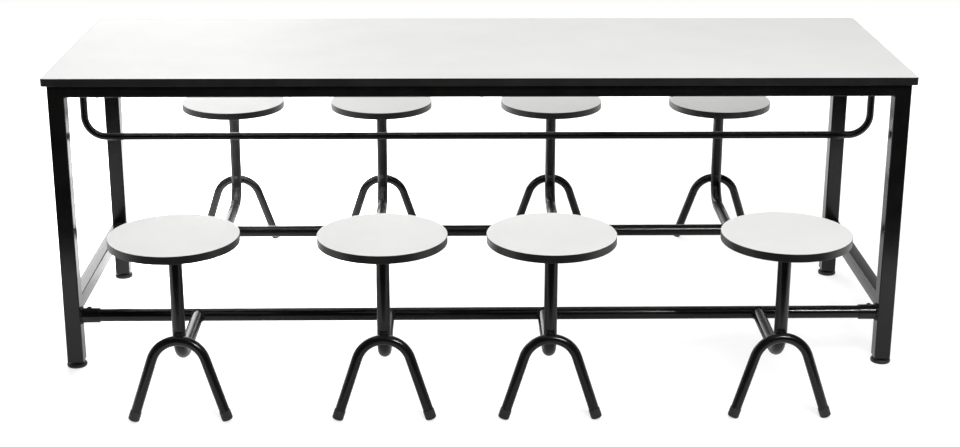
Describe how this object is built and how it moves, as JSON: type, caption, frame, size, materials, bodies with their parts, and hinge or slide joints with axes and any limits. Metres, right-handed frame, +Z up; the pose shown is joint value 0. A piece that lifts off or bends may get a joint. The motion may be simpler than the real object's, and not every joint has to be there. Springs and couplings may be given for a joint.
{
  "type": "table with attached swivel seats",
  "caption": "Long rectangular table with round swivel seats on arched tube legs, joined to its square-tube frame by low arms; bag rail under the top",
  "frame": {"origin": "on the floor, under the middle of the tabletop", "axes": "+X along the table's length to the right, +Y from the front row of seats to the rear row, +Z up"},
  "size_m": [2.1, 1.51, 0.75],
  "materials": {
    "white_laminate": "white laminate on both faces of a 19 mm board, fine matt texture, black edge",
    "black_powder_coat": "semi-gloss black powder coat on welded steel tube",
    "zinc_plated_steel": "zinc-plated steel plate and spindle",
    "nylon": "natural nylon sleeve",
    "black_plastic": "moulded black plastic",
    "black_screws": "blackened steel screw"
  },
  "bodies": {
    "table": {"tabletop": "white_laminate", "cross_bearers": "black_powder_coat", "bag_rail": "black_powder_coat", "left_end_apron": "black_powder_coat", "right_end_apron": "black_powder_coat", "left_lower_rail": "black_powder_coat", "right_lower_rail": "black_powder_coat", "front_apron": "black_powder_coat", "rear_apron": "black_powder_coat", "front_seat_rail": "black_powder_coat", "rear_seat_rail": "black_powder_coat", "rail_sockets": "black_powder_coat", "front_left_leg": "black_powder_coat", "front_right_leg": "black_powder_coat", "rear_left_leg": "black_powder_coat", "rear_right_leg": "black_powder_coat", "leveller_inserts": "black_plastic", "leg_hole_plugs": "black_plastic", "swivel_sleeves": "nylon", "retaining_screws": "black_screws", "stool_leg_tips": "black_plastic", "front_stool_frame_1": "black_powder_coat", "front_stool_frame_2": "black_powder_coat", "front_stool_frame_3": "black_powder_coat", "front_stool_frame_4": "black_powder_coat", "rear_stool_frame_1": "black_powder_coat", "rear_stool_frame_2": "black_powder_coat", "rear_stool_frame_3": "black_powder_coat", "rear_stool_frame_4": "black_powder_coat"},
    "front_swivel_seat_1": {"front_seat_1": "white_laminate", "front_swivel_1": "zinc_plated_steel"},
    "front_swivel_seat_2": {"front_seat_2": "white_laminate", "front_swivel_2": "zinc_plated_steel"},
    "front_swivel_seat_3": {"front_seat_3": "white_laminate", "front_swivel_3": "zinc_plated_steel"},
    "front_swivel_seat_4": {"front_seat_4": "white_laminate", "front_swivel_4": "zinc_plated_steel"},
    "rear_swivel_seat_1": {"rear_seat_1": "white_laminate", "rear_swivel_1": "zinc_plated_steel"},
    "rear_swivel_seat_2": {"rear_seat_2": "white_laminate", "rear_swivel_2": "zinc_plated_steel"},
    "rear_swivel_seat_3": {"rear_seat_3": "white_laminate", "rear_swivel_3": "zinc_plated_steel"},
    "rear_swivel_seat_4": {"rear_seat_4": "white_laminate", "rear_swivel_4": "zinc_plated_steel"},
    "front_left_levelling_foot": {"front_left_foot": "black_plastic"},
    "front_right_levelling_foot": {"front_right_foot": "black_plastic"},
    "rear_left_levelling_foot": {"rear_left_foot": "black_plastic"},
    "rear_right_levelling_foot": {"rear_right_foot": "black_plastic"}
  },
  "joints": [
    {"name": "front_seat_1_turn", "type": "hinge", "parent": "table", "child": "front_swivel_seat_1", "pos_m": [-0.708, -0.605, 0.35], "axis": [0, 0, 1], "continuous": true},
    {"name": "front_seat_2_turn", "type": "hinge", "parent": "table", "child": "front_swivel_seat_2", "pos_m": [-0.232, -0.605, 0.35], "axis": [0, 0, 1], "continuous": true},
    {"name": "front_seat_3_turn", "type": "hinge", "parent": "table", "child": "front_swivel_seat_3", "pos_m": [0.157, -0.605, 0.35], "axis": [0, 0, 1], "continuous": true},
    {"name": "front_seat_4_turn", "type": "hinge", "parent": "table", "child": "front_swivel_seat_4", "pos_m": [0.698, -0.605, 0.35], "axis": [0, 0, 1], "continuous": true},
    {"name": "rear_seat_1_turn", "type": "hinge", "parent": "table", "child": "rear_swivel_seat_1", "pos_m": [-0.721, 0.605, 0.35], "axis": [0, 0, 1], "continuous": true},
    {"name": "rear_seat_2_turn", "type": "hinge", "parent": "table", "child": "rear_swivel_seat_2", "pos_m": [-0.281, 0.605, 0.35], "axis": [0, 0, 1], "continuous": true},
    {"name": "rear_seat_3_turn", "type": "hinge", "parent": "table", "child": "rear_swivel_seat_3", "pos_m": [0.225, 0.605, 0.35], "axis": [0, 0, 1], "continuous": true},
    {"name": "rear_seat_4_turn", "type": "hinge", "parent": "table", "child": "rear_swivel_seat_4", "pos_m": [0.729, 0.605, 0.35], "axis": [0, 0, 1], "continuous": true},
    {"name": "front_left_foot_travel", "type": "slide", "parent": "table", "child": "front_left_levelling_foot", "axis": [0, 0, -1], "range_m": [-0.002, 0.012]},
    {"name": "front_right_foot_travel", "type": "slide", "parent": "table", "child": "front_right_levelling_foot", "axis": [0, 0, -1], "range_m": [-0.002, 0.012]},
    {"name": "rear_left_foot_travel", "type": "slide", "parent": "table", "child": "rear_left_levelling_foot", "axis": [0, 0, -1], "range_m": [-0.002, 0.012]},
    {"name": "rear_right_foot_travel", "type": "slide", "parent": "table", "child": "rear_right_levelling_foot", "axis": [0, 0, -1], "range_m": [-0.002, 0.012]}
  ]
}
